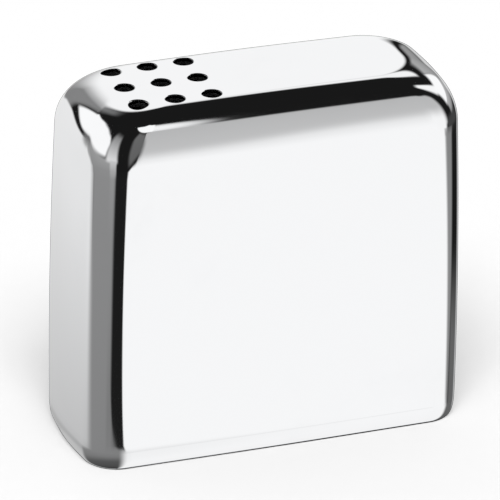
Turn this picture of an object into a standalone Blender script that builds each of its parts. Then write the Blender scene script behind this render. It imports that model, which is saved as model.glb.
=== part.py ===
# Pepper shaker: a drawn steel block with a sift-hole grid on top and a push-in filler stopper underneath.
# Metres, +Z up. The shell stands on its rim at z = 0, and the broad faces look along -Y and +Y.

import math

import bmesh
import bpy
from mathutils import Matrix

MM = 0.001

# Driving dimensions of the steel shell
HEIGHT = 49.6 * MM
TOP_WIDTH = 50.2 * MM
TOP_DEPTH = 22.6 * MM
SIDE_FLARE = 1.1 * MM        # each narrow side leans out by this much from top to rim
FACE_FLARE = 0.1 * MM        # each broad face leans out by this much from top to rim
CORNER_RADIUS = 4.4 * MM     # upright corners
TOP_RADIUS = 6.2 * MM        # edges all round the top
CROWN_RADIUS = 3.2 * MM      # corners of the flat inside the rounded top edges
WALL = 1.0 * MM

# Sift holes, a grid near the left end of the top
SIFT_ROWS = 3
SIFT_COLUMNS = 3
SIFT_PITCH_X = 4.97 * MM
SIFT_PITCH_Y = 5.4 * MM
SIFT_RADIUS = 1.25 * MM
SIFT_CENTRE_X = -13.35 * MM

# Base plate, a pressed tray that fills the open underside
CLEARANCE = 0.3 * MM         # between neighbours that touch on the real object
SHEET = 0.8 * MM
PLATE_RIM_Z = 0.4 * MM
PLATE_FLOOR_Z = 3.1 * MM     # underside of the tray's floor
PLATE_BEND = 1.2 * MM

# Filler collar, a snap-in bush that lines the filler hole
BORE_RADIUS = 5.9 * MM
COLLAR_WALL = 0.7 * MM
COLLAR_FLANGE = 0.8 * MM     # thickness of both flanges
LOWER_FLANGE_RADIUS = 8.2 * MM
UPPER_FLANGE_RADIUS = 7.6 * MM
NECK_TOP_Z = 8.4 * MM

# Stopper plug and the seal ring in its groove
HEAD_Z = 0.6 * MM            # underside of the head, clear of the table
HEAD_RADIUS = 7.4 * MM
STEM_RADIUS = 5.5 * MM
STEM_TOP_Z = 9.2 * MM
STEM_LEAD_IN = 0.8 * MM
CAVITY_RADIUS = 3.6 * MM
CAVITY_TOP_Z = 5.2 * MM
PULL_BAR_WIDTH = 2.0 * MM
PULL_BAR_BOTTOM_Z = 0.9 * MM
PULL_BAR_TOP_Z = 2.6 * MM
SEAL_Z = 6.75 * MM
SEAL_RADIUS = 5.2 * MM
SEAL_SECTION = 0.5 * MM
GROOVE_SLACK = 0.25 * MM

ROUND_SEGMENTS = 8           # facets across each rounded edge
TURN_STEPS = 48              # facets round a turned piece
MERGE = 0.00001


def clear_scene():
    for obj in list(bpy.data.objects):
        bpy.data.objects.remove(obj, do_unlink=True)


def new_collection(name):
    collection = bpy.data.collections.new(name)
    bpy.context.scene.collection.children.link(collection)
    return collection


def finish_material(name, colour, roughness, metallic):
    material = bpy.data.materials.new(name)
    material.use_nodes = True
    shader = material.node_tree.nodes["Principled BSDF"]
    shader.inputs["Base Color"].default_value = (*colour, 1.0)
    shader.inputs["Roughness"].default_value = roughness
    shader.inputs["Metallic"].default_value = metallic
    return material


def add_object(name, bm, collection, material=None):
    mesh = bpy.data.meshes.new(name)
    bm.to_mesh(mesh)
    bm.free()
    obj = bpy.data.objects.new(name, mesh)
    collection.objects.link(obj)
    if material:
        mesh.materials.append(material)
        mesh.shade_smooth()
    return obj


def add_cutter(name, bm, collection):
    cutter = add_object(name, bm, collection)
    cutter.hide_render = True
    cutter.display_type = "WIRE"
    return cutter


def boolean(obj, cutter, operation="DIFFERENCE"):
    modifier = obj.modifiers.new(cutter.name, "BOOLEAN")
    modifier.operation = operation
    modifier.object = cutter
    modifier.solver = "EXACT"


def add_thickness(obj, thickness):
    solidify = obj.modifiers.new("sheet thickness", "SOLIDIFY")
    solidify.thickness = thickness
    solidify.offset = -1.0
    solidify.use_even_offset = True


def block(bm, size, centre):
    place = Matrix.Translation(centre) @ Matrix.Diagonal((*size, 1.0))
    bmesh.ops.create_cube(bm, size=1.0, matrix=place)


def post(bm, radius, bottom_z, top_z, x=0.0, y=0.0, segments=TURN_STEPS):
    place = Matrix.Translation((x, y, (bottom_z + top_z) / 2))
    bmesh.ops.create_cone(bm, cap_ends=True, segments=segments, radius1=radius, radius2=radius,
                          depth=top_z - bottom_z, matrix=place)


def turned(name, profile, closed, collection, material):
    """Turns an outline of (radius, height) points, listed down the outer side first, about the Z axis."""
    bm = bmesh.new()
    verts = [bm.verts.new((radius, 0.0, height)) for radius, height in profile]
    for start, end in zip(verts, verts[1:]):
        bm.edges.new((start, end))
    if closed:
        bm.edges.new((verts[-1], verts[0]))
    obj = add_object(name, bm, collection, material)
    screw = obj.modifiers.new("turn", "SCREW")
    screw.steps = TURN_STEPS
    screw.render_steps = TURN_STEPS
    screw.use_merge_vertices = True
    screw.merge_threshold = MERGE
    return obj


def flared(height):
    """Width and depth of the shell's outside at a height above the rim, before its top edges are rounded."""
    share = 1.0 - height / HEIGHT
    return TOP_WIDTH + 2 * SIDE_FLARE * share, TOP_DEPTH + 2 * FACE_FLARE * share


def section(width, depth, radius, height):
    """Points of a rounded rectangle, anticlockwise from above."""
    points = []
    for quarter, (side_x, side_y) in enumerate(((1, 1), (-1, 1), (-1, -1), (1, -1))):
        for step in range(ROUND_SEGMENTS + 1):
            angle = math.pi / 2 * (quarter + step / ROUND_SEGMENTS)
            points.append((side_x * (width / 2 - radius) + radius * math.cos(angle),
                           side_y * (depth / 2 - radius) + radius * math.sin(angle), height))
    return points


def shell_sections(spare):
    """Sections from below the rim to the flat of the top. The corner radius changes as they close in."""
    sections = [section(*flared(-spare), CORNER_RADIUS, -spare)]
    for step in range(ROUND_SEGMENTS + 1):
        angle = math.pi / 2 * step / ROUND_SEGMENTS
        height = HEIGHT - TOP_RADIUS * (1.0 - math.sin(angle))
        closed_in = 1.0 - math.cos(angle)
        width, depth = (size - 2 * TOP_RADIUS * closed_in for size in flared(height))
        radius = CORNER_RADIUS + (CROWN_RADIUS - CORNER_RADIUS) * closed_in
        sections.append(section(width, depth, radius, height))
    return sections


def body_shell(parts, cutters, material):
    spare = WALL                       # drawn too long, then trimmed flat at the rim
    bm = bmesh.new()
    rings = [[bm.verts.new(point) for point in points] for points in shell_sections(spare)]
    for lower, upper in zip(rings, rings[1:]):
        for index in range(len(lower)):
            after = (index + 1) % len(lower)
            bm.faces.new((lower[index], lower[after], upper[after], upper[index]))
    bm.faces.new(rings[-1])
    shell = add_object("body_shell", bm, parts, material)
    add_thickness(shell, WALL)
    bm = bmesh.new()
    trim_depth = 4 * spare
    block(bm, (2 * TOP_WIDTH, 2 * TOP_DEPTH, trim_depth), (0.0, 0.0, -trim_depth / 2))
    boolean(shell, add_cutter("rim_trim", bm, cutters))
    bm = bmesh.new()
    for column in range(SIFT_COLUMNS):
        for row in range(SIFT_ROWS):
            x = SIFT_CENTRE_X + (column - (SIFT_COLUMNS - 1) / 2) * SIFT_PITCH_X
            y = (row - (SIFT_ROWS - 1) / 2) * SIFT_PITCH_Y
            post(bm, SIFT_RADIUS, HEIGHT - 3 * WALL, HEIGHT + WALL, x, y, segments=TURN_STEPS // 2)
    boolean(shell, add_cutter("sift_holes", bm, cutters))
    return shell


def base_plate(parts, cutters, material):
    floor_top_z = PLATE_FLOOR_Z + SHEET
    width, depth = (size - 2 * (WALL + CLEARANCE) for size in flared(floor_top_z))
    corner = CORNER_RADIUS - WALL - CLEARANCE
    bm = bmesh.new()
    height = floor_top_z - PLATE_RIM_Z
    block(bm, (width, depth, height), (0.0, 0.0, PLATE_RIM_Z + height / 2))
    top = {vert for vert in bm.verts if vert.co.z > PLATE_FLOOR_Z}
    underside = [face for face in bm.faces if top.isdisjoint(face.verts)]
    bmesh.ops.delete(bm, geom=underside, context="FACES_ONLY")
    weight = bm.edges.layers.float.new("bevel_weight_edge")
    weight_by_top_ends = {0: 0.0, 1: 1.0, 2: PLATE_BEND / corner}
    for edge in bm.edges:
        edge[weight] = weight_by_top_ends[len(top.intersection(edge.verts))]
    plate = add_object("base_plate", bm, parts, material)
    bevel = plate.modifiers.new("rounded edges", "BEVEL")
    bevel.limit_method = "WEIGHT"
    bevel.width = corner
    bevel.segments = ROUND_SEGMENTS
    add_thickness(plate, SHEET)
    bm = bmesh.new()
    post(bm, BORE_RADIUS + COLLAR_WALL + CLEARANCE, PLATE_FLOOR_Z - SHEET, floor_top_z + SHEET)
    boolean(plate, add_cutter("filler_hole", bm, cutters))
    return plate


def filler_collar(parts, material):
    sleeve = BORE_RADIUS + COLLAR_WALL
    lower_top = PLATE_FLOOR_Z - CLEARANCE
    upper_bottom = PLATE_FLOOR_Z + SHEET + CLEARANCE
    lower_bottom = lower_top - COLLAR_FLANGE
    upper_top = upper_bottom + COLLAR_FLANGE
    lead_in = COLLAR_FLANGE / 2
    profile = [
        (BORE_RADIUS, NECK_TOP_Z), (sleeve, NECK_TOP_Z), (sleeve, upper_top),
        (UPPER_FLANGE_RADIUS - lead_in, upper_top), (UPPER_FLANGE_RADIUS, upper_top - lead_in),
        (UPPER_FLANGE_RADIUS, upper_bottom), (sleeve, upper_bottom), (sleeve, lower_top),
        (LOWER_FLANGE_RADIUS, lower_top), (LOWER_FLANGE_RADIUS, lower_bottom),
        (BORE_RADIUS + lead_in, lower_bottom), (BORE_RADIUS, lower_bottom + lead_in),
    ]
    return turned("filler_collar", profile, True, parts, material)


def stopper_plug(parts, cutters, material):
    head_top = PLATE_FLOOR_Z - CLEARANCE - COLLAR_FLANGE - CLEARANCE
    groove_half = SEAL_SECTION + GROOVE_SLACK
    groove_radius = SEAL_RADIUS - SEAL_SECTION - GROOVE_SLACK
    edge = COLLAR_FLANGE / 4
    profile = [
        (0.0, STEM_TOP_Z), (STEM_RADIUS - STEM_LEAD_IN, STEM_TOP_Z),
        (STEM_RADIUS, STEM_TOP_Z - STEM_LEAD_IN), (STEM_RADIUS, SEAL_Z + groove_half),
        (groove_radius, SEAL_Z + groove_half), (groove_radius, SEAL_Z - groove_half),
        (STEM_RADIUS, SEAL_Z - groove_half), (STEM_RADIUS, head_top),
        (HEAD_RADIUS - edge, head_top), (HEAD_RADIUS, head_top - edge),
        (HEAD_RADIUS, HEAD_Z + edge), (HEAD_RADIUS - edge, HEAD_Z),
        (CAVITY_RADIUS, HEAD_Z), (CAVITY_RADIUS, CAVITY_TOP_Z), (0.0, CAVITY_TOP_Z),
    ]
    plug = turned("stopper_plug", profile, False, parts, material)
    bm = bmesh.new()
    wall_middle = (STEM_RADIUS + CAVITY_RADIUS) / 2
    bar_height = PULL_BAR_TOP_Z - PULL_BAR_BOTTOM_Z
    block(bm, (2 * wall_middle, PULL_BAR_WIDTH, bar_height), (0.0, 0.0, PULL_BAR_BOTTOM_Z + bar_height / 2))
    boolean(plug, add_cutter("pull_bar", bm, cutters), "UNION")
    return plug


def stopper_seal(parts, material):
    bpy.ops.mesh.primitive_torus_add(major_radius=SEAL_RADIUS, minor_radius=SEAL_SECTION,
                                     major_segments=TURN_STEPS, minor_segments=ROUND_SEGMENTS + 2,
                                     location=(0.0, 0.0, SEAL_Z))
    seal = bpy.context.object
    seal.name = "stopper_seal"
    seal.data.materials.append(material)
    seal.data.shade_smooth()
    for collection in list(seal.users_collection):
        collection.objects.unlink(seal)
    parts.objects.link(seal)
    return seal


def build():
    clear_scene()
    parts = new_collection("pepper_shaker")
    cutters = new_collection("cutters")

    polished_steel = finish_material("polished_steel", (0.90, 0.90, 0.91), 0.05, 1.0)
    brushed_steel = finish_material("brushed_steel", (0.60, 0.60, 0.61), 0.35, 1.0)
    black_polymer = finish_material("black_polymer", (0.030, 0.030, 0.033), 0.45, 0.0)
    grey_polymer = finish_material("grey_polymer", (0.16, 0.16, 0.17), 0.50, 0.0)
    pale_silicone = finish_material("pale_silicone", (0.62, 0.62, 0.60), 0.40, 0.0)

    shell = body_shell(parts, cutters, polished_steel)
    plate = base_plate(parts, cutters, brushed_steel)
    collar = filler_collar(parts, black_polymer)
    plug = stopper_plug(parts, cutters, grey_polymer)
    seal = stopper_seal(parts, pale_silicone)

    # The stopper slides along Z, so its pieces hang on an empty that stands on that axis.
    stopper_axis = bpy.data.objects.new("stopper_axis", None)
    parts.objects.link(stopper_axis)
    plug.parent = stopper_axis
    seal.parent = stopper_axis
    plate.parent = shell
    collar.parent = plate


build()
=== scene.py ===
import math

import bmesh
import bpy
from mathutils import Matrix, Vector
from mathutils.kdtree import KDTree


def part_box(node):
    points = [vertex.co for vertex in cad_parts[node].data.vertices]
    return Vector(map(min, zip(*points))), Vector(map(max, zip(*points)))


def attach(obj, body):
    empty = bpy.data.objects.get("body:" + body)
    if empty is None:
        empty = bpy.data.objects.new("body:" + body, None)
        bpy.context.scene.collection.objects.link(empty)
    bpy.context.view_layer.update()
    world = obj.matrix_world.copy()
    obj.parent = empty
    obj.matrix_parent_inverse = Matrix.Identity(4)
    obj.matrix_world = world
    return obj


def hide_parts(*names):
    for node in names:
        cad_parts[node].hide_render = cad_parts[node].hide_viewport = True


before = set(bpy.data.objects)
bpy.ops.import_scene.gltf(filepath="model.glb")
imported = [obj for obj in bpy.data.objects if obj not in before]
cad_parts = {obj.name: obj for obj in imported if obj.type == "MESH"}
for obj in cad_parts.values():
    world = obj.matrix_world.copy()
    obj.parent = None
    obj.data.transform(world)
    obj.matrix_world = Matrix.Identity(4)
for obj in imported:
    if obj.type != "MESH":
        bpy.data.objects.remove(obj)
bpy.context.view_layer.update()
mm = 0.001
mergeDistance = 0.002 * mm
sharpAngle = math.radians(35)     # edges folded more than this stay crisp
print("frame loaded:", sorted(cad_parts))


# mesh helpers

def arcAngles(start, sweep, steps):
    return [start + sweep * step / steps for step in range(steps + 1)]


def roundedRing(halfX, halfY, radius, counts):
    # points (x, y, nx, ny) of a rounded rectangle, anticlockwise from above
    ring = []
    signs = ((1, 1), (-1, 1), (-1, -1), (1, -1))
    for quarter, (signX, signY) in enumerate(signs):
        for angle in arcAngles(math.pi / 2 * quarter, math.pi / 2, counts["corner"]):
            nx, ny = math.cos(angle), math.sin(angle)
            ring.append((signX * (halfX - radius) + radius * nx,
                         signY * (halfY - radius) + radius * ny, nx, ny))
        nextX, nextY = signs[(quarter + 1) % 4]
        nx, ny = round(math.cos(angle)), round(math.sin(angle))
        start = ring[-1]
        end = (nextX * (halfX - radius) + radius * nx, nextY * (halfY - radius) + radius * ny)
        steps = counts["long"] if ny else counts["short"]
        for step in range(1, steps):
            share = step / steps
            ring.append((start[0] + (end[0] - start[0]) * share,
                         start[1] + (end[1] - start[1]) * share, nx, ny))
    return ring


def circleRing(radius, height, count):
    return [Vector((radius * math.cos(angle), radius * math.sin(angle), height))
            for angle in arcAngles(0, 2 * math.pi, count)[:-1]]


def roundedProfile(corners, steps=6):
    # (radius, height, fillet) corners of a closed outline, each rounded by its fillet
    points = []
    for index, (x, z, fillet) in enumerate(corners):
        here = Vector((x, z))
        before = Vector(corners[index - 1][:2]) - here
        after = Vector(corners[(index + 1) % len(corners)][:2]) - here
        if not fillet:
            points.append((x, z))
            continue
        before.normalize()
        after.normalize()
        half = before.angle(after) / 2
        centre = here + (before + after).normalized() * fillet / math.sin(half)
        start = here + before * fillet / math.tan(half) - centre
        sweep = start.angle_signed(here + after * fillet / math.tan(half) - centre)
        for angle in arcAngles(0, -sweep, steps):
            turned = Matrix.Rotation(angle, 2) @ start
            points.append(tuple(centre + turned))
    return points


def meshPiece(name, bm):
    mesh = bpy.data.meshes.new(name)
    bm.to_mesh(mesh)
    bm.free()
    piece = bpy.data.objects.new(name, mesh)
    bpy.context.scene.collection.objects.link(piece)
    mesh.shade_smooth()
    return piece


def skinRings(name, rings, closed=False):
    # one quad strip between neighbouring rings, then doubles merged and faces turned outwards
    bm = bmesh.new()
    rows = [[bm.verts.new(point) for point in ring] for ring in rings]
    pairs = list(zip(rows, rows[1:])) + ([(rows[-1], rows[0])] if closed else [])
    for lower, upper in pairs:
        for index in range(len(lower)):
            after = (index + 1) % len(lower)
            bm.faces.new((lower[index], lower[after], upper[after], upper[index]))
    bmesh.ops.remove_doubles(bm, verts=bm.verts, dist=mergeDistance)
    bmesh.ops.dissolve_degenerate(bm, edges=bm.edges, dist=mergeDistance / 10)
    bmesh.ops.recalc_face_normals(bm, faces=bm.faces)
    return meshPiece(name, bm)


def turnProfile(name, corners, count, closed=True):
    return skinRings(name, [circleRing(x, z, count) for x, z in roundedProfile(corners)], closed)


def plainMesh(piece):
    # the modifiers' result as the piece's own mesh
    result = bpy.data.meshes.new_from_object(piece.evaluated_get(bpy.context.evaluated_depsgraph_get()))
    result.name = piece.name
    piece.modifiers.clear()
    piece.data = result
    return piece


def dress(piece, body, node, material):
    if not piece.data.materials:
        piece.data.materials.append(material)
    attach(piece, body)
    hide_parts(node)
    print(piece.name, "faces:", len(piece.data.polygons))


# node helpers

def addNode(tree, kind, inputs=None, **settings):
    node = tree.nodes.new(kind)
    for name, value in settings.items():
        setattr(node, name, value)
    for name, value in (inputs or {}).items():
        if isinstance(value, bpy.types.NodeSocket):
            tree.links.new(value, node.inputs[name])
        else:
            node.inputs[name].default_value = value
    return node


def mathNode(tree, operation, first, second=0.0):
    return addNode(tree, "ShaderNodeMath", {0: first, 1: second}, operation=operation).outputs[0]


def dotNode(tree, first, second):
    return addNode(tree, "ShaderNodeVectorMath", {0: first, 1: second},
                   operation="DOT_PRODUCT").outputs["Value"]


def mixNode(tree, factor, first, second, kind="FLOAT"):
    return addNode(tree, "ShaderNodeMix", {"Factor": factor, "A": first, "B": second},
                   data_type=kind).outputs["Result"]


def remap(tree, value, given, wanted, kind="LINEAR"):
    return addNode(tree, "ShaderNodeMapRange",
                   {"Value": value, "From Min": given[0], "From Max": given[1],
                    "To Min": wanted[0], "To Max": wanted[1]}, interpolation_type=kind).outputs[0]


def noise(tree, vector, scale, detail, **more):
    return addNode(tree, "ShaderNodeTexNoise",
                   {"Vector": vector, "Scale": scale, "Detail": detail, **more}).outputs["Fac"]


def newGroup(name, inputs, outputs):
    group = bpy.data.node_groups.new(name, "ShaderNodeTree")
    for label, kind, value in inputs:
        group.interface.new_socket(label, in_out="INPUT", socket_type=kind).default_value = value
    for label, kind in outputs:
        group.interface.new_socket(label, in_out="OUTPUT", socket_type=kind)
    return group, group.nodes.new("NodeGroupInput").outputs, group.nodes.new("NodeGroupOutput").inputs


def newFinish(name):
    material = bpy.data.materials.new(name)
    material.use_nodes = True
    tree = material.node_tree
    coords = tree.nodes.new("ShaderNodeTexCoord").outputs["Object"]
    return material, tree, tree.nodes["Principled BSDF"], coords


def feedShader(tree, shader, colour, roughness, height, depth):
    bump = addNode(tree, "ShaderNodeBump", {"Height": height, "Strength": 1.0, "Distance": depth})
    sources = {"Base Color": colour, "Roughness": roughness, "Normal": bump.outputs["Normal"]}
    for name, source in sources.items():
        tree.links.new(source, shader.inputs[name])


# handling marks: broad soft smudges with a finer mottle inside them, shared by both steels
markEdge = 0.25       # softness of a smudge's edge
mottleFiner = 9.0     # how much finer the mottle is


def buildHandlingMarks():
    group, inputs, outputs = newGroup(
        "handlingMarks",
        (("Vector", "NodeSocketVector", (0, 0, 0)), ("Scale", "NodeSocketFloat", 60.0),
         ("Coverage", "NodeSocketFloat", 0.5)),
        (("Mask", "NodeSocketFloat"),))
    broad = noise(group, inputs["Vector"], inputs["Scale"], 3.0, Roughness=0.55, Distortion=0.4)
    fineScale = mathNode(group, "MULTIPLY", inputs["Scale"], mottleFiner)
    fine = noise(group, inputs["Vector"], fineScale, 4.0)
    low = mathNode(group, "SUBTRACT", 1.0, inputs["Coverage"])
    soft = remap(group, broad, (low, mathNode(group, "ADD", low, markEdge)), (0.0, 1.0), "SMOOTHSTEP")
    group.links.new(mathNode(group, "MULTIPLY", soft, fine), outputs["Mask"])
    return group


# mould grain: the fine spark-eroded skin of a moulded piece, shared by the polymers and the silicone
def buildMouldGrain():
    group, inputs, outputs = newGroup(
        "mouldGrain",
        (("Vector", "NodeSocketVector", (0, 0, 0)), ("Grain", "NodeSocketFloat", 4000.0),
         ("Cloud", "NodeSocketFloat", 120.0)),
        (("Height", "NodeSocketFloat"), ("Tone", "NodeSocketFloat")))
    grain = noise(group, inputs["Vector"], inputs["Grain"], 2.0)
    cloud = noise(group, inputs["Vector"], inputs["Cloud"], 3.0)
    group.links.new(grain, outputs["Height"])
    group.links.new(mathNode(group, "MULTIPLY", cloud, grain), outputs["Tone"])
    return group


handlingMarks = buildHandlingMarks()
mouldGrain = buildMouldGrain()


# finishes

polishedSteel = {
    "clean": (0.92, 0.925, 0.935, 1),
    "marked": (0.89, 0.895, 0.905, 1),
    "roughness": (0.035, 0.10),       # clean, inside a mark
    "markScale": 70.0,
    "markCoverage": 0.46,
    "waveScale": 90.0,                # soft unevenness left by the polishing wheel
    "waveDepth": 0.0015 * mm,
    "inside": (0.20, 0.20, 0.205, 1),   # the wall's inner side keeps the dull skin of the drawn sheet; its colour is darkened far below steel's as painted shade inside the closed shell
    "insideRoughness": 0.5,
}


def makePolishedSteel(spec):
    material, tree, shader, coords = newFinish("polishedSteel")
    shader.inputs["Metallic"].default_value = 1.0
    marks = addNode(tree, "ShaderNodeGroup", {"Vector": coords, "Scale": spec["markScale"],
                                              "Coverage": spec["markCoverage"]},
                    node_tree=handlingMarks).outputs["Mask"]
    # on the inner skin the colour turns to the painted shade of the shell's inside, and the roughness to its
    # dull skin
    inside = addNode(tree, "ShaderNodeAttribute", attribute_name="inside").outputs["Fac"]
    tone = mixNode(tree, marks, spec["clean"], spec["marked"], "RGBA")
    rough = remap(tree, marks, (0.0, 1.0), spec["roughness"])
    wave = noise(tree, coords, spec["waveScale"], 1.0)
    feedShader(tree, shader, mixNode(tree, inside, tone, spec["inside"], "RGBA"),
               mixNode(tree, inside, rough, spec["insideRoughness"]), wave, spec["waveDepth"])
    return material


brushedSteel = {
    "light": (0.66, 0.66, 0.67, 1),
    "dark": (0.50, 0.50, 0.51, 1),
    "roughness": (0.24, 0.42),
    "lineStretch": (60.0, 2600.0, 2600.0),   # brushed along X
    "lineDepth": 0.006 * mm,
    "markScale": 120.0,
    "markCoverage": 0.5,
    "markShare": 0.5,                 # how far a mark dulls the steel, next to its lines
}


def makeBrushedSteel(spec):
    material, tree, shader, coords = newFinish("brushedSteel")
    shader.inputs["Metallic"].default_value = 1.0
    stretched = addNode(tree, "ShaderNodeMapping", {"Vector": coords, "Scale": spec["lineStretch"]})
    lines = noise(tree, stretched.outputs[0], 1.0, 4.0)
    marks = addNode(tree, "ShaderNodeGroup", {"Vector": coords, "Scale": spec["markScale"],
                                              "Coverage": spec["markCoverage"]},
                    node_tree=handlingMarks).outputs["Mask"]
    worn = mathNode(tree, "ADD", lines, mathNode(tree, "MULTIPLY", marks, spec["markShare"]))
    feedShader(tree, shader, mixNode(tree, lines, spec["dark"], spec["light"], "RGBA"),
               remap(tree, worn, (0.0, 1.0), spec["roughness"]), lines, spec["lineDepth"])
    return material


blackPolymer = {"low": (0.022, 0.022, 0.024, 1), "high": (0.045, 0.045, 0.048, 1), "roughness": (0.38, 0.55),
                "grain": 3600.0, "cloud": 140.0, "grainDepth": 0.012 * mm}
greyPolymer = {"low": (0.125, 0.125, 0.132, 1), "high": (0.20, 0.20, 0.21, 1), "roughness": (0.42, 0.60),
               "grain": 3000.0, "cloud": 110.0, "grainDepth": 0.014 * mm}
paleSilicone = {"low": (0.57, 0.57, 0.55, 1), "high": (0.68, 0.68, 0.66, 1), "roughness": (0.34, 0.46),
                "grain": 2200.0, "cloud": 200.0, "grainDepth": 0.004 * mm}
toneSpread = (0.12, 0.40)     # the part of the grain's tone that goes from low to high


def makeMoulded(name, spec):
    material, tree, shader, coords = newFinish(name)
    grain = addNode(tree, "ShaderNodeGroup",
                    {"Vector": coords, "Grain": spec["grain"], "Cloud": spec["cloud"]},
                    node_tree=mouldGrain).outputs
    height = grain["Height"]
    spread = remap(tree, grain["Tone"], toneSpread, (0.0, 1.0))
    feedShader(tree, shader, mixNode(tree, spread, spec["low"], spec["high"], "RGBA"),
               remap(tree, height, (0.0, 1.0), spec["roughness"]), height, spec["grainDepth"])
    return material


steelMirror = makePolishedSteel(polishedSteel)
steelBrushed = makeBrushedSteel(brushedSteel)
polymerBlack = makeMoulded("blackPolymer", blackPolymer)
polymerGrey = makeMoulded("greyPolymer", greyPolymer)
siliconePale = makeMoulded("paleSilicone", paleSilicone)
print("finishes ready")


# body shell: one drawn skin, flared a little to its rounded rim, its walls and top crowned a little

shell = {
    "wall": 1.0 * mm,
    "sideFlare": 1.15 * mm,             # how much the ends draw in from rim to top
    "cornerRadius": 4.65 * mm,
    "crownRadius": 5.6 * mm,            # corner of the flat inside the top rounding
    "topRadius": (5.3 * mm, 4.95 * mm),   # width of the top rounding along X and along Y
    "topDrop": 6.8 * mm,                # its height, a little more than its width
    "wallSwell": 0.33 * mm,             # how far the walls belly out between rim and top
    "faceCrown": 0.15 * mm,
    "endCrown": 0.72 * mm,
    "topCrown": 0.22 * mm,
    "crownMiddle": (0.5, 0.1),          # share of each crown that stays inside the plain box, X and Y
    "rimRise": 2.6 * mm,                # the rim is drawn in over this height
    "rimInset": 0.6 * mm,
    "rimFillet": 0.15 * mm,             # inside edge of the rim
    "counts": {"long": 56, "short": 24, "corner": 20},
    "wallRings": 36,
    "roundRings": 28,
    "capRings": 8,
    "rimRings": 10,
}


def shellSkin(spec, inset):
    # rings of one skin from the rim to the middle of the top, set in by the wall for the inside
    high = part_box("body_shell")[1]
    height = high.z - inset
    topDrop, corner, crown = (spec[key] - inset for key in ("topDrop", "cornerRadius", "crownRadius"))
    topWidths = [width - inset for width in spec["topRadius"]]
    middleX, middleY = spec["crownMiddle"]
    spring = height - topDrop

    def halves(z):
        share = z / high.z
        swell = spec["wallSwell"] * (4 * share * (1 - share) - 0.5) - inset
        return high.x - spec["sideFlare"] * share + swell, high.y + swell

    def hump(place, reach):
        return math.cos(math.pi / 2 * min(abs(place) / reach, 1)) ** 2

    def crowned(halfX, halfY, radius, z, wallShare, topShare):
        ring = []
        for x, y, nx, ny in roundedRing(halfX, halfY, radius, spec["counts"]):
            riseX, riseY = hump(x, high.x) - middleX, hump(y, high.y) - middleY
            ring.append(Vector((x + spec["endCrown"] * wallShare * riseY * nx,
                                y + spec["faceCrown"] * wallShare * riseX * ny,
                                z + spec["topCrown"] * topShare * riseX)))
        return ring

    rings = []
    rise, pull = (spec["rimFillet"], spec["rimFillet"]) if inset else (spec["rimRise"], -spec["rimInset"])
    for angle in arcAngles(0, math.pi / 2, spec["rimRings"]):
        z = rise * (1 - math.cos(angle))
        pulled = pull * (1 - math.sin(angle))
        halfX, halfY = (half + pulled for half in halves(z))
        rings.append(crowned(halfX, halfY, corner + pulled, z, 1, 0))
    for step in range(1, spec["wallRings"]):
        z = rise + (spring - rise) * step / spec["wallRings"]
        rings.append(crowned(*halves(z), corner, z, 1, 0))
    for angle in arcAngles(0, math.pi / 2, spec["roundRings"]):
        z = height - topDrop * (1 - math.sin(angle))
        closedIn = 1 - math.cos(angle)
        halfX, halfY = (half - width * closedIn for half, width in zip(halves(z), topWidths))
        radius = corner + (crown - corner) * math.sqrt(closedIn)
        rings.append(crowned(halfX, halfY, radius, z, math.cos(angle), math.sin(angle)))
    for step in range(1, spec["capRings"] + 1):
        closing = halfY * step / spec["capRings"]
        rings.append(crowned(halfX - closing, halfY - closing, max(crown - closing, 0), height, 0, 1))
    return rings


innerSkin = shellSkin(shell, shell["wall"])
outerSkin = shellSkin(shell, 0)
bodyShell = skinRings("bodyShell", innerSkin[::-1] + outerSkin)
print("shell skin:", len(bodyShell.data.polygons), "faces")


# sift holes: a grid of lipped punches, dropped on the top and cut out of the shell

siftHoles = {
    "Rows": 3,
    "Columns": 3,
    "Pitch X": 5.0 * mm,
    "Pitch Y": 5.55 * mm,
    "Centre": (-13.25 * mm, 0, 0),
    "Hole Radius": 1.32 * mm,
    "Lip": 0.10 * mm,
    "Depth": 4.0 * mm,
    "Sides": 40,
    "Steps": 60,
}
lipReach = 0.94       # share of the lip's quarter round that is cut
lipSlope = 2.75       # how fast the punch widens beyond it


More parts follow.
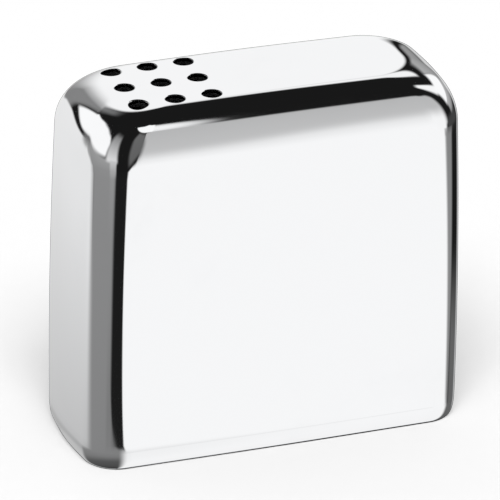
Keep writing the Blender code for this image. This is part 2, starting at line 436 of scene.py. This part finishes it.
def buildSiftHoles():
    tree = bpy.data.node_groups.new("siftHoles", "GeometryNodeTree")
    socketKinds = {int: "NodeSocketInt", float: "NodeSocketFloat", tuple: "NodeSocketVector"}
    tree.interface.new_socket("Geometry", in_out="INPUT", socket_type="NodeSocketGeometry")
    for label, value in siftHoles.items():
        tree.interface.new_socket(label, in_out="INPUT", socket_type=socketKinds[type(value)])
    tree.interface.new_socket("Finish", in_out="INPUT", socket_type="NodeSocketMaterial")
    tree.interface.new_socket("Geometry", in_out="OUTPUT", socket_type="NodeSocketGeometry")
    given = tree.nodes.new("NodeGroupInput").outputs

    def span(count, pitch):
        return mathNode(tree, "MULTIPLY", mathNode(tree, "SUBTRACT", given[count], 1.0), given[pitch])

    grid = addNode(tree, "GeometryNodeMeshGrid",
                   {"Size X": span("Columns", "Pitch X"), "Size Y": span("Rows", "Pitch Y"),
                    "Vertices X": given["Columns"], "Vertices Y": given["Rows"]})
    placed = addNode(tree, "GeometryNodeTransform",
                     {"Geometry": grid.outputs["Mesh"], "Translation": given["Centre"]})
    position = addNode(tree, "GeometryNodeInputPosition").outputs[0]
    above = addNode(tree, "ShaderNodeVectorMath", {0: position, 1: (0, 0, 1)}, operation="ADD").outputs[0]
    drop = addNode(tree, "GeometryNodeRaycast",
                   {"Target Geometry": given["Geometry"], "Source Position": above,
                    "Ray Direction": (0, 0, -1), "Ray Length": 2.0})
    landed = addNode(tree, "GeometryNodeSetPosition",
                     {"Geometry": placed.outputs[0], "Position": drop.outputs["Hit Position"]})
    punch = addNode(tree, "GeometryNodeMeshCylinder",
                    {"Vertices": given["Sides"], "Side Segments": given["Steps"],
                     "Radius": given["Hole Radius"], "Depth": given["Depth"]})
    # the punch widens as a quarter round over the last lip's depth below the surface
    local = addNode(tree, "ShaderNodeSeparateXYZ", {0: position}).outputs
    climb = mathNode(tree, "DIVIDE", mathNode(tree, "ADD", local["Z"], given["Lip"]), given["Lip"])
    climb = addNode(tree, "ShaderNodeClamp", {"Value": climb, "Max": lipReach}).outputs[0]
    fall = mathNode(tree, "SQRT", mathNode(tree, "SUBTRACT", 1.0, mathNode(tree, "MULTIPLY", climb, climb)))
    grown = mathNode(tree, "MULTIPLY", mathNode(tree, "SUBTRACT", 1.0, fall), given["Lip"])
    uncut = mathNode(tree, "MULTIPLY", given["Lip"], 1 - lipReach)
    beyond = mathNode(tree, "MAXIMUM", mathNode(tree, "ADD", local["Z"], uncut), 0.0)
    grown = mathNode(tree, "ADD", grown, mathNode(tree, "MULTIPLY", beyond, lipSlope))
    factor = mathNode(tree, "ADD", 1.0, mathNode(tree, "DIVIDE", grown, given["Hole Radius"]))
    widened = addNode(tree, "ShaderNodeCombineXYZ",
                      {"X": mathNode(tree, "MULTIPLY", local["X"], factor),
                       "Y": mathNode(tree, "MULTIPLY", local["Y"], factor), "Z": local["Z"]})
    lipped = addNode(tree, "GeometryNodeSetPosition",
                     {"Geometry": punch.outputs["Mesh"], "Position": widened.outputs[0]})
    punches = addNode(tree, "GeometryNodeInstanceOnPoints",
                      {"Points": landed.outputs[0], "Instance": lipped.outputs[0]})
    cut = addNode(tree, "GeometryNodeMeshBoolean",
                  {"Mesh 1": given["Geometry"], "Mesh 2": punches.outputs[0]},
                  operation="DIFFERENCE", solver="EXACT")
    real = addNode(tree, "GeometryNodeRealizeInstances", {"Geometry": cut.outputs["Mesh"]})
    finished = addNode(tree, "GeometryNodeSetMaterial",
                       {"Geometry": real.outputs[0], "Material": given["Finish"]})
    output = tree.nodes.new("NodeGroupOutput")
    tree.links.new(finished.outputs[0], output.inputs["Geometry"])
    return tree


def punchSiftHoles(piece, material):
    modifier = piece.modifiers.new("siftHoles", "NODES")
    modifier.node_group = buildSiftHoles()
    values = dict(siftHoles, Finish=material)
    for item in modifier.node_group.interface.items_tree:
        if item.in_out == "INPUT" and item.name in values:
            modifier[item.identifier] = values[item.name]
    plainMesh(piece)


def markInside(piece, inner, outer):
    # 1 on points nearer to the inner skin than to the outer one, read by the steel
    trees = []
    for rings in (inner, outer):
        points = [point for ring in rings for point in ring]
        tree = KDTree(len(points))
        for index, point in enumerate(points):
            tree.insert(point, index)
        tree.balance()
        trees.append(tree)
    inside = piece.data.attributes.new("inside", "FLOAT", "POINT")
    for vertex in piece.data.vertices:
        toInner, toOuter = (tree.find(vertex.co)[2] for tree in trees)
        inside.data[vertex.index].value = float(toInner < toOuter)


punchSiftHoles(bodyShell, steelMirror)
markInside(bodyShell, innerSkin, outerSkin)
bodyShell.data.shade_smooth()
bodyShell.data.set_sharp_from_angle(angle=sharpAngle)
dress(bodyShell, "shaker", "body_shell", steelMirror)


# base plate: a pressed tray with the filler hole in its middle

plate = {
    "sheet": 0.8 * mm,
    "corner": 4.2 * mm,
    "bend": 1.2 * mm,
    "holeRadius": 6.9 * mm,
    "edgeFillet": 0.25 * mm,
    "counts": {"long": 40, "short": 16, "corner": 8},
    "floorRings": 6,
    "bendRings": 8,
    "edgeRings": 3,
}


def makeBasePlate(spec):
    low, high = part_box("base_plate")
    sheet, bend, edge = spec["sheet"], spec["bend"], spec["edgeFillet"]

    def trayRing(inset, height):
        ring = roundedRing(high.x - inset, high.y - inset, spec["corner"] - inset, spec["counts"])
        return [Vector((x, y, height)) for x, y, _, _ in ring]

    def holeRing(growth, height, rim):
        # points on the hole, each in the direction of the tray ring's own point
        middle, radius = Vector((0, 0, height)), spec["holeRadius"] + growth
        return [Vector((point.x, point.y, 0)).normalized() * radius + middle for point in rim]

    def between(inner, outer):
        return [[start.lerp(end, step / spec["floorRings"]) for start, end in zip(inner, outer)]
                for step in range(1, spec["floorRings"])]

    rings = []
    under = high.z - sheet
    topRim, underRim = trayRing(bend, high.z), trayRing(bend, under)
    for angle in arcAngles(0, math.pi / 2, spec["edgeRings"]):          # hole edge, top side
        rings.append(holeRing(edge * (1 - math.cos(angle)), high.z - edge * (1 - math.sin(angle)), topRim))
    rings += between(rings[-1], topRim)
    for angle in arcAngles(0, math.pi / 2, spec["bendRings"]):          # outer bend
        rings.append(trayRing(bend * (1 - math.sin(angle)), high.z - bend * (1 - math.cos(angle))))
    for angle in arcAngles(0, math.pi, 2 * spec["edgeRings"]):          # rounded lower edge of the wall
        rings.append(trayRing(sheet / 2 * (1 - math.cos(angle)), low.z + sheet / 2 * (1 - math.sin(angle))))
    innerBend = bend - sheet
    for angle in arcAngles(0, math.pi / 2, spec["bendRings"] // 2):     # inner bend
        rings.append(trayRing(sheet + innerBend * (1 - math.cos(angle)),
                              under - innerBend * (1 - math.sin(angle))))
    rings += between(holeRing(edge, under, underRim), underRim)[::-1]
    for angle in arcAngles(math.pi / 2, -math.pi / 2, spec["edgeRings"]):   # hole edge, underside
        rings.append(holeRing(edge * (1 - math.cos(angle)), under + edge * (1 - math.sin(angle)), underRim))
    return skinRings("basePlate", rings, closed=True)


basePlate = makeBasePlate(plate)
dress(basePlate, "shaker", "base_plate", steelBrushed)


# filler collar: a snap-in bush, turned from its section

collar = {
    "bore": 5.9 * mm,
    "sleeve": 6.6 * mm,
    "upperFlange": 7.6 * mm,
    "flange": 0.8 * mm,
    "plateGap": 0.3 * mm,
    "fillet": 0.2 * mm,
    "tightFillet": 0.1 * mm,      # in the neck between the flanges
    "wideFillet": 0.36 * mm,      # on the flanges' outer edges
    "leadFillet": 0.4 * mm,       # where the stopper goes in
    "count": 96,
}


def makeFillerCollar(spec):
    low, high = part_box("filler_collar")
    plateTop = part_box("base_plate")[1].z
    lowerTop = low.z + spec["flange"]
    upperBottom = plateTop + spec["plateGap"]
    upperTop = upperBottom + spec["flange"]
    fillet, tight, wide = spec["fillet"], spec["tightFillet"], spec["wideFillet"]
    corners = [
        (spec["bore"], high.z, fillet), (spec["sleeve"], high.z, fillet), (spec["sleeve"], upperTop, fillet),
        (spec["upperFlange"], upperTop, wide), (spec["upperFlange"], upperBottom, fillet),
        (spec["sleeve"], upperBottom, tight), (spec["sleeve"], lowerTop, tight),
        (high.x, lowerTop, fillet), (high.x, low.z, wide), (spec["bore"], low.z, spec["leadFillet"]),
    ]
    return turnProfile("fillerCollar", corners, spec["count"])


fillerCollar = makeFillerCollar(collar)
dress(fillerCollar, "shaker", "filler_collar", polymerBlack)


# stopper plug: a moulded head and stem with a hollow for the fingernail and a bar to pull on

plug = {
    "stem": 5.5 * mm,
    "leadIn": 0.8 * mm,
    "headTop": 1.7 * mm,
    "cavity": 3.6 * mm,
    "cavityTop": 5.2 * mm,
    "sealHeight": 6.75 * mm,
    "grooveHalf": 0.75 * mm,
    "grooveRadius": 4.45 * mm,
    "fillet": 0.2 * mm,
    "tightFillet": 0.1 * mm,      # in and beside the groove
    "wideFillet": 0.4 * mm,       # on the head and in the hollow
    "leadFillet": 0.3 * mm,       # where the lead-in meets the end
    "barLength": 9.1 * mm,
    "barWidth": 2.0 * mm,
    "barHeights": (0.9 * mm, 2.6 * mm),
    "barBevel": 0.6 * mm,
    "count": 96,
}


def makeStopperPlug(spec):
    low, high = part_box("stopper_plug")
    fillet, tight, wide = spec["fillet"], spec["tightFillet"], spec["wideFillet"]
    grooveTop = spec["sealHeight"] + spec["grooveHalf"]
    grooveBottom = spec["sealHeight"] - spec["grooveHalf"]
    corners = [
        (0, high.z, 0), (spec["stem"] - spec["leadIn"], high.z, spec["leadFillet"]),
        (spec["stem"], high.z - spec["leadIn"], fillet), (spec["stem"], grooveTop, tight),
        (spec["grooveRadius"], grooveTop, tight), (spec["grooveRadius"], grooveBottom, tight),
        (spec["stem"], grooveBottom, tight), (spec["stem"], spec["headTop"], tight),
        (high.x, spec["headTop"], fillet), (high.x, low.z, wide),
        (spec["cavity"], low.z, wide), (spec["cavity"], spec["cavityTop"], wide),
        (0, spec["cavityTop"], 0),
    ]
    piece = turnProfile("stopperPlug", corners, spec["count"], closed=False)
    bm = bmesh.new()
    bottom, top = spec["barHeights"]
    place = Matrix.Translation((0, 0, (bottom + top) / 2))
    size = Matrix.Diagonal((spec["barLength"], spec["barWidth"], top - bottom, 1))
    bmesh.ops.create_cube(bm, size=1, matrix=place @ size)
    lengthways = [edge for edge in bm.edges
                  if abs(edge.verts[0].co.x - edge.verts[1].co.x) > spec["barWidth"]]
    bmesh.ops.bevel(bm, geom=lengthways, offset=spec["barBevel"], segments=6, affect="EDGES", profile=0.5)
    bar = meshPiece("pullBar", bm)
    join = piece.modifiers.new("pullBar", "BOOLEAN")
    join.operation = "UNION"
    join.solver = "EXACT"
    join.object = bar
    plainMesh(piece)
    bpy.data.objects.remove(bar)
    piece.data.set_sharp_from_angle(angle=sharpAngle)
    return piece


stopperPlug = makeStopperPlug(plug)
dress(stopperPlug, "stopper", "stopper_plug", polymerGrey)


# stopper seal: a round-section ring that sits in the plug's groove

seal = {"around": 96, "section": 24}


def makeStopperSeal(spec):
    low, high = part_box("stopper_seal")
    thick = (high.z - low.z) / 2
    rings = []
    for angle in arcAngles(0, 2 * math.pi, spec["section"])[:-1]:
        rings.append(circleRing(high.x - thick + thick * math.cos(angle),
                                low.z + thick + thick * math.sin(angle), spec["around"]))
    return skinRings("stopperSeal", rings, closed=True)


stopperSeal = makeStopperSeal(seal)
dress(stopperSeal, "stopper", "stopper_seal", siliconePale)


# studio: a white floor and one soft key from the front, so that the shadow falls behind the shaker

studio = {
    "floorHalf": 0.9,
    "floorDrop": 0.05 * mm,
    "floorColour": (0.95, 0.95, 0.95, 1),
    "ambient": 0.40,
    "keyPower": 6.0,
    "keySize": 0.5,
    "keyDistance": 1.0,
    "keyAzimuth": -110.0,
    "keyElevation": 62.0,
}


def makeFloor(spec):
    bm = bmesh.new()
    half = spec["floorHalf"]
    bm.faces.new([bm.verts.new((x, y, -spec["floorDrop"]))
                  for x, y in ((-half, -half), (half, -half), (half, half), (-half, half))])
    floor = meshPiece("floor", bm)
    material, tree, shader, _ = newFinish("floorPaper")
    shader.inputs["Base Color"].default_value = spec["floorColour"]
    shader.inputs["Roughness"].default_value = 1.0
    shader.inputs["Specular IOR Level"].default_value = 0.0
    # seen through from underneath
    below = addNode(tree, "ShaderNodeNewGeometry").outputs["Backfacing"]
    clear = addNode(tree, "ShaderNodeBsdfTransparent").outputs[0]
    paper = addNode(tree, "ShaderNodeMixShader", {0: below, 1: shader.outputs[0], 2: clear})
    tree.links.new(paper.outputs[0], tree.nodes["Material Output"].inputs["Surface"])
    floor.data.materials.append(material)
    floor.is_shadow_catcher = True
    floor.visible_glossy = False      # the steel mirrors the room's cards alone


def makeKeyLamp(spec):
    lamp = bpy.data.lights.new("keyLamp", "AREA")
    lamp.energy = spec["keyPower"]
    lamp.size = spec["keySize"]
    holder = bpy.data.objects.new("keyLamp", lamp)
    bpy.context.scene.collection.objects.link(holder)
    azimuth, elevation = math.radians(spec["keyAzimuth"]), math.radians(spec["keyElevation"])
    away = Vector((math.cos(azimuth) * math.cos(elevation), math.sin(azimuth) * math.cos(elevation),
                   math.sin(elevation)))
    holder.location = away * spec["keyDistance"]
    holder.rotation_euler = away.to_track_quat("Z", "Y").to_euler()
    holder.visible_glossy = False
    holder.visible_camera = False


# among them is the floor at the shaker's foot, which carries a painted shadow of the shaker
# what the steel mirrors: paper, cards and soft boxes, laid over each other on a dark ground
# grey is at the lowest and at the highest corner
# soft is half the width of the edge that follows each corner
# corners are (heading, height) in degrees, anticlockwise, round a form with no hollow side
cards = {
    "backFloor": {"grey": (0.9, 0.98), "soft": (3, 4, 3, 1.5),
                  "corners": ((65, -45), (84, -45), (84, -18), (65, -18))},
    "backPaper": {"grey": (0.98, 0.98), "soft": (3, 3, 3, 6, 4, 3, 3, 1.5),
                  "corners": ((65, -24), (82, -24), (109, 29), (104, 40), (95, 54), (84, 58), (74, 57),
                              (65, 51))},
    "backTop": {"grey": (0.97, 0.97), "soft": (1.5, 3, 4, 4),
                "corners": ((43, 36), (66, 28), (66, 50), (50, 46))},
    "backShade": {"grey": (0.22, 0.14), "soft": (6, 6, 6, 6),
                  "corners": ((102, 30), (112, 30), (114, 56), (98, 56))},
    "backWedge": {"grey": (0.23, 0.25), "soft": (3, 2, 1.2, 3, 5, 14),
                  "corners": ((72, -12), (81, -15), (114, 2), (114, 20), (112, 29), (102, 33))},
    "leftFloor": {"grey": (0.83, 0.87), "soft": (2, 1.5, 1.5, 1.5, 1.5, 6),
                  "corners": ((76, -26), (158, -26), (146, -15), (126, -2), (115, 3), (78, -16))},
    # the next card is the floor beside the left end, going dark towards the shaker's foot: a painted shadow
    # of the shaker
    "leftShadowRamp": {"grey": (0, 0.83), "soft": (2, 3, 1.5, 8),
                  "corners": ((80, -36), (172, -36), (172, -22.5), (80, -22.5))},
    "leftLine": {"grey": (0.5, 0.1), "soft": (3, 1.5, 1.5, 0.8),
                 "corners": ((127.5, -15), (136, -15), (134, 2), (127, 2))},
    "leftPaper": {"grey": (0.22, 0.36), "soft": (2, 6, 4, 2, 7),
                  "corners": ((172, -36), (232, -36), (210, 8), (129, 4), (134, -13))},
    "leftToe": {"grey": (0.12, 0.26), "soft": (2, 6, 4, 6),
                "corners": ((216, -36), (244, -36), (229, -23), (216, -23))},
    "leftBox": {"grey": (1.03, 1.03), "soft": (1.2, 2, 5, 4, 3, 3, 3, 2, 1.2),
                "corners": ((115, 12), (127, 1), (132, 1), (190, 11), (191, 36), (180, 46), (155, 50),
                            (135, 45), (116, 27))},
    "leftWall": {"grey": (0.8, 0.2), "soft": (5, 5, 6, 6),
                 "corners": ((194, 4), (227, 4), (213, 56), (188, 58))},
    "leftFoot": {"grey": (0.36, 0.62), "soft": (3, 3, 4, 4),
                 "corners": ((208, -19), (227, -20), (225, 8), (206, 8))},
    "greyFlag": {"grey": (0.12, 0.15), "soft": (6, 4, 4, 5, 6, 6),
                 "corners": ((264, -8), (287, 8), (288, 42), (270, 57), (257, 48), (257, 10))},
    "frontWall": {"grey": (0.59, 0.5), "soft": (4, 6, 4, 2, 1.2),
                  "corners": ((284, -10), (344, -10), (341, 38), (330, 44), (288, 44))},
    "frontFloor": {"grey": (1, 0.97), "soft": (2, 6, 12, 12, 4),
                   "corners": ((270, -36), (340, -36), (336, 12), (293, 12), (285, -1))},
    "rightCard": {"grey": (0.26, 0.26), "soft": (2, 5, 3, 3),
                  "corners": ((340, -36), (354, -36), (364, -18), (328, -18))},
    "frontRight": {"grey": (1, 1), "soft": (2, 3, 3, 5),
                   "corners": ((300, -36), (364, -36), (332, -20), (300, -16))},
    "frontBar": {"grey": (1.04, 1.04), "soft": (1.5, 1.5, 0.7, 1.5, 1.5, 1.5),
                 "corners": ((250, 75), (263, 65), (293, 43), (301, 57.3), (297, 64), (270, 73))},
    "rightDusk": {"grey": (0.13, 0.13), "soft": (2, 4, 1.2, 4),
                  "corners": ((363, -36), (404, -36), (398, -25), (363, -25))},
    "rightShade": {"grey": (0.06, 0.05), "soft": (5, 5, 5, 5),
                   "corners": ((344, -18), (392, -18), (388, -2), (348, -2))},
    "rightTop": {"grey": (1, 1), "soft": (3, 3, 3, 3, 5),
                 "corners": ((365, 27), (384, 27), (378, 44), (370, 54), (356, 55))},
    "rightBox": {"grey": (1.03, 1.03), "soft": (3, 1.5, 2.5, 5),
                 "corners": ((367, 9), (405, 8), (404, 28), (369, 31))},
    "rightLow": {"grey": (0.22, 0.5), "soft": (3, 3, 2, 4),
                 "corners": ((370, -4), (408, -5), (406, 9), (369, 9))},
    "rightGrey": {"grey": (0.26, 0.46), "soft": (3, 1.5, 3, 3),
                  "corners": ((404, 0), (421, -2), (421, 22), (404, 28))},
    "rightFloor": {"grey": (0.3, 0.85), "soft": (3, 2, 4, 6),
                   "corners": ((398, -36), (428, -32), (426, -7), (402, 0))},
    # the near cards are the floor right at the shaker's foot, as the lower rim mirrors it; their greys go
    # darker towards the foot, and nearCorner, nearLeft and nearRight are dark there: a painted shadow of the
    # shaker on the floor
    "nearCorner": {"grey": (0.1, 0.24), "soft": (2, 6, 1.5, 6),
                   "corners": ((120, -50), (300, -50), (300, -29), (120, -29))},
    "nearLeft": {"grey": (0.02, 0.1), "soft": (2, 12, 6, 4),
                 "corners": ((72, -95), (300, -95), (300, -40), (72, -40))},
    "nearEnd": {"grey": (0.4, 0.54), "soft": (2, 14, 2, 4),
                "corners": ((72, -95), (120, -95), (120, -30), (72, -30))},
    "nearRight": {"grey": (0.03, 0.14), "soft": (2, 4, 2, 8),
                  "corners": ((345, -95), (420, -95), (420, -30), (345, -30))},
    "nearFront": {"grey": (0.93, 1), "soft": (2, 10, 2.5, 20),
                  "corners": ((276, -95), (355, -95), (355, -29.5), (276, -29.5))},
    "blackFoot": {"grey": (0.012, 0.012), "soft": (0.4, 0.4, 0.4, 1, 3, 5),
                  "corners": ((229, -27.6), (237, -28.9), (257, -30.1), (281, -30.3), (281, -18),
                              (226, -18))},
    "frontToe": {"grey": (1, 1), "soft": (0.4, 6, 6, 3, 2, 1.5, 0.5, 0.4),
                 "corners": ((281, -30.4), (305, -30.8), (305, -10), (275, -10), (262, -21), (262, -25),
                             (267, -28.1), (272, -29.3))},
}
roomGround = 0.010


def layCard(tree, ground, direction, height, card):
    corners = [Vector(corner) for corner in card["corners"]]
    middle = sum(corner.x for corner in corners) / len(corners)
    turn = math.radians(middle)
    axes = ((math.cos(turn), math.sin(turn), 0), (-math.sin(turn), math.cos(turn), 0))
    along, beside = (dotNode(tree, direction, axis) for axis in axes)
    heading = mathNode(tree, "DEGREES", mathNode(tree, "ARCTAN2", beside, along))   # from the card's middle
    place = addNode(tree, "ShaderNodeCombineXYZ", {"X": heading, "Y": height, "Z": 1.0}).outputs[0]
    mask = 1.0
    for corner, after, soft in zip(corners, corners[1:] + corners[:1], card["soft"]):
        edge = (after - corner).normalized()
        inward = (-edge.y, edge.x, edge.y * (corner.x - middle) - edge.x * corner.y)
        shown = remap(tree, dotNode(tree, place, inward), (-soft, soft), (0.0, 1.0), "SMOOTHSTEP")
        mask = mathNode(tree, "MULTIPLY", mask, shown)
    heights = [corner.y for corner in corners]
    grey = remap(tree, height, (min(heights), max(heights)), card["grey"])
    return mixNode(tree, mask, ground, grey)


def makeRoom(ambient):
    world = bpy.data.worlds.new("studioRoom")
    bpy.context.scene.world = world
    world.use_nodes = True
    world.cycles.sampling_method = "NONE"     # the plain room needs no light sampling
    tree = world.node_tree
    tree.nodes.clear()
    direction = tree.nodes.new("ShaderNodeTexCoord").outputs["Generated"]
    climb = addNode(tree, "ShaderNodeSeparateXYZ", {0: direction}).outputs["Z"]
    height = mathNode(tree, "DEGREES", mathNode(tree, "ARCSINE", climb))
    seen = roomGround
    for card in cards.values():
        seen = layCard(tree, seen, direction, height, card)
    path = tree.nodes.new("ShaderNodeLightPath").outputs
    lit = mixNode(tree, path["Is Glossy Ray"], ambient, seen)
    plain = mathNode(tree, "MAXIMUM", path["Is Camera Ray"], path["Is Transmission Ray"])
    background = addNode(tree, "ShaderNodeBackground", {"Color": mixNode(tree, plain, lit, 1.0)})
    output = tree.nodes.new("ShaderNodeOutputWorld")
    tree.links.new(background.outputs[0], output.inputs["Surface"])


makeFloor(studio)
makeKeyLamp(studio)
makeRoom(studio["ambient"])
print("studio ready")


# camera: placed for a 500 x 500 frame

view = {
    "target": (0, 0, 25 * mm),
    "targetOffset": (4.5, -8.4),    # pixels right of and below the middle
    "yaw": 20.4,
    "pitch": 24.85,
    "roll": 0.9,
    "distance": 0.7,
    "pixelsPerMetre": 7575,
    "framePixels": 500,
    "sensor": 36,
    "clip": (0.05, 20),
}


def makeCamera(spec):
    yaw, pitch, roll = (math.radians(spec[key]) for key in ("yaw", "pitch", "roll"))
    forward = Vector((math.sin(yaw) * math.cos(pitch), math.cos(yaw) * math.cos(pitch), -math.sin(pitch)))
    level = Vector((math.cos(yaw), -math.sin(yaw), 0))
    upright = level.cross(forward)
    right = level * math.cos(roll) + upright * math.sin(roll)
    up = upright * math.cos(roll) - level * math.sin(roll)
    target = Vector(spec["target"])
    eye = target - forward * spec["distance"]
    offX, offY = (pixels / spec["pixelsPerMetre"] for pixels in spec["targetOffset"])
    look = (target - right * offX + up * offY - eye).normalized()
    right = (right - look * right.dot(look)).normalized()
    up = right.cross(look)
    data = bpy.data.cameras.new("camera")
    data.sensor_width = spec["sensor"]
    data.lens = spec["pixelsPerMetre"] * spec["distance"] / spec["framePixels"] * spec["sensor"]
    data.clip_start, data.clip_end = spec["clip"]
    camera = bpy.data.objects.new("camera", data)
    bpy.context.scene.collection.objects.link(camera)
    turn = Matrix((right, up, -look)).transposed().to_4x4()
    camera.matrix_world = Matrix.Translation(eye) @ turn
    bpy.context.scene.camera = camera


makeCamera(view)
bpy.context.scene.view_settings.view_transform = "Standard"
print("camera ready")
